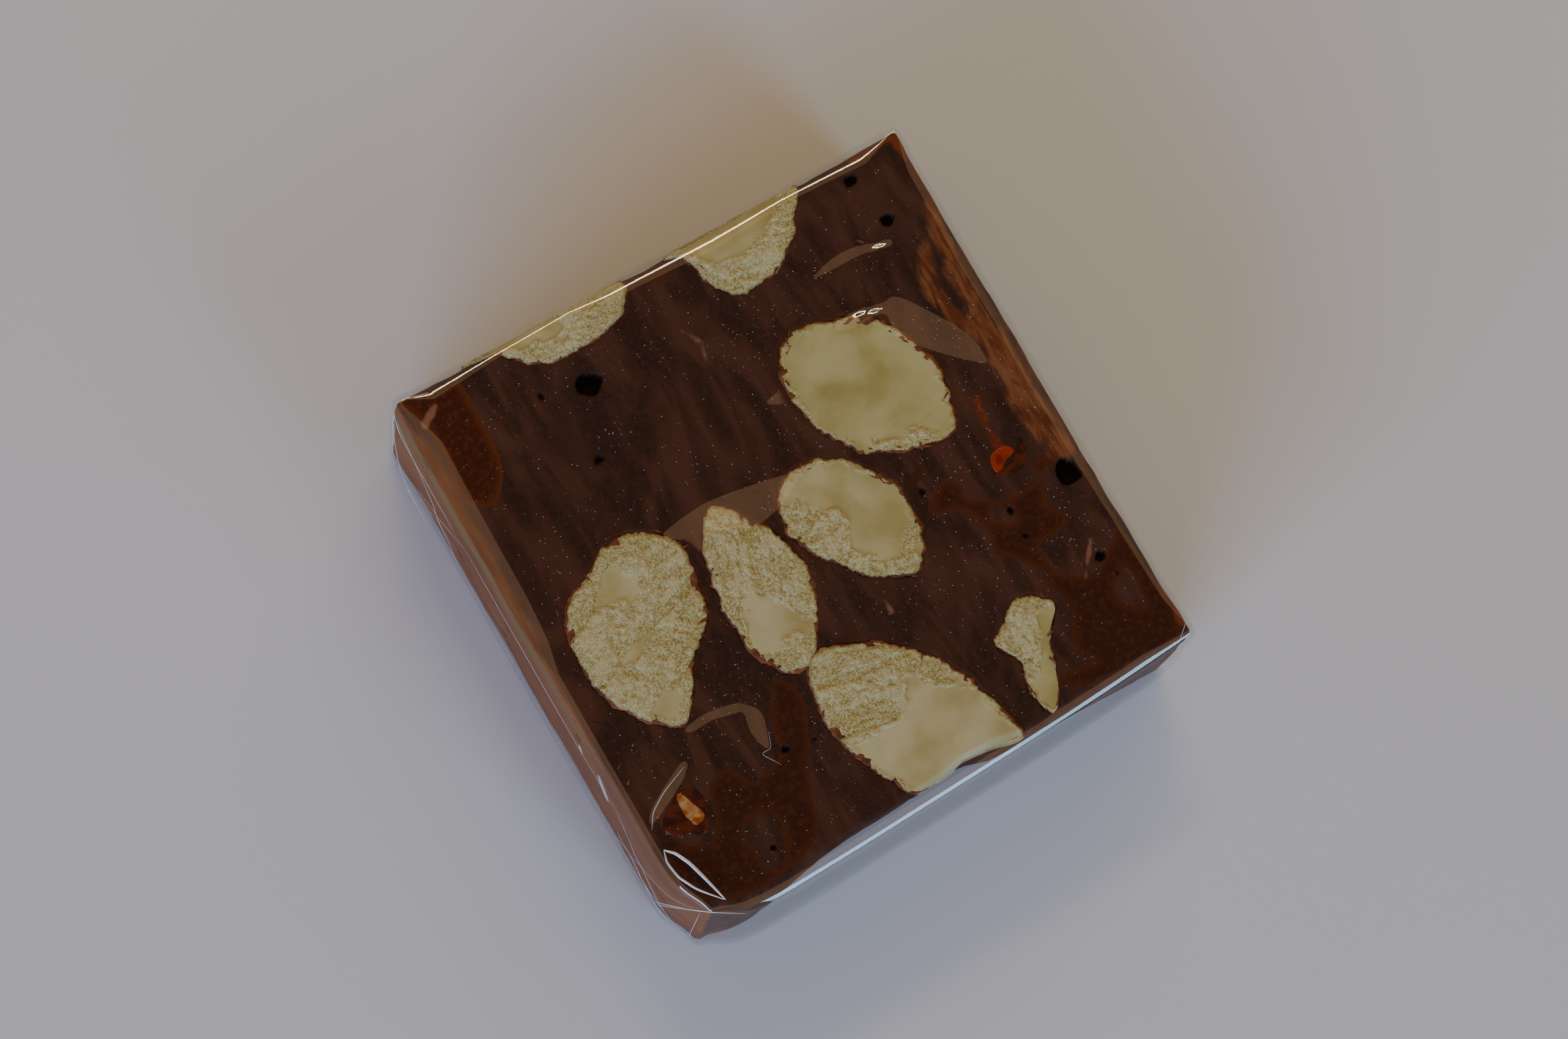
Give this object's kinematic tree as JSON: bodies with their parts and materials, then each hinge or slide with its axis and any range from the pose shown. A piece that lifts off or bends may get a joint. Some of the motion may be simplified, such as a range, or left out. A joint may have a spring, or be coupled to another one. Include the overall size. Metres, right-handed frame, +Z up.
{
  "type": "wrapped nougat bar",
  "caption": "Square chocolate nougat bar with cut almonds, sealed in a tight clear wrapper with envelope-folded ends.",
  "frame": {"origin": "middle of the base, on the surface the bar lies on", "axes": "+Z up through the bar's thickness, X between the two envelope-folded ends, Y between the two plain sides"},
  "size_m": [0.0508, 0.0516, 0.017],
  "materials": {
    "nougat": "dense dark chocolate nougat, satin and pitted, wet-looking where the film clings to it",
    "almond": "cut almond flesh, creamy and torn in places, waxy in others, with thin brown skin round it",
    "caramel": "bits of amber caramel and orange-brown almond skin",
    "film": "thin clear glossy wrapping film, slightly hazy where it is folded"
  },
  "bodies": {
    "root": {"wrapped_nougat_bar": "nougat"}
  },
  "joints": []
}
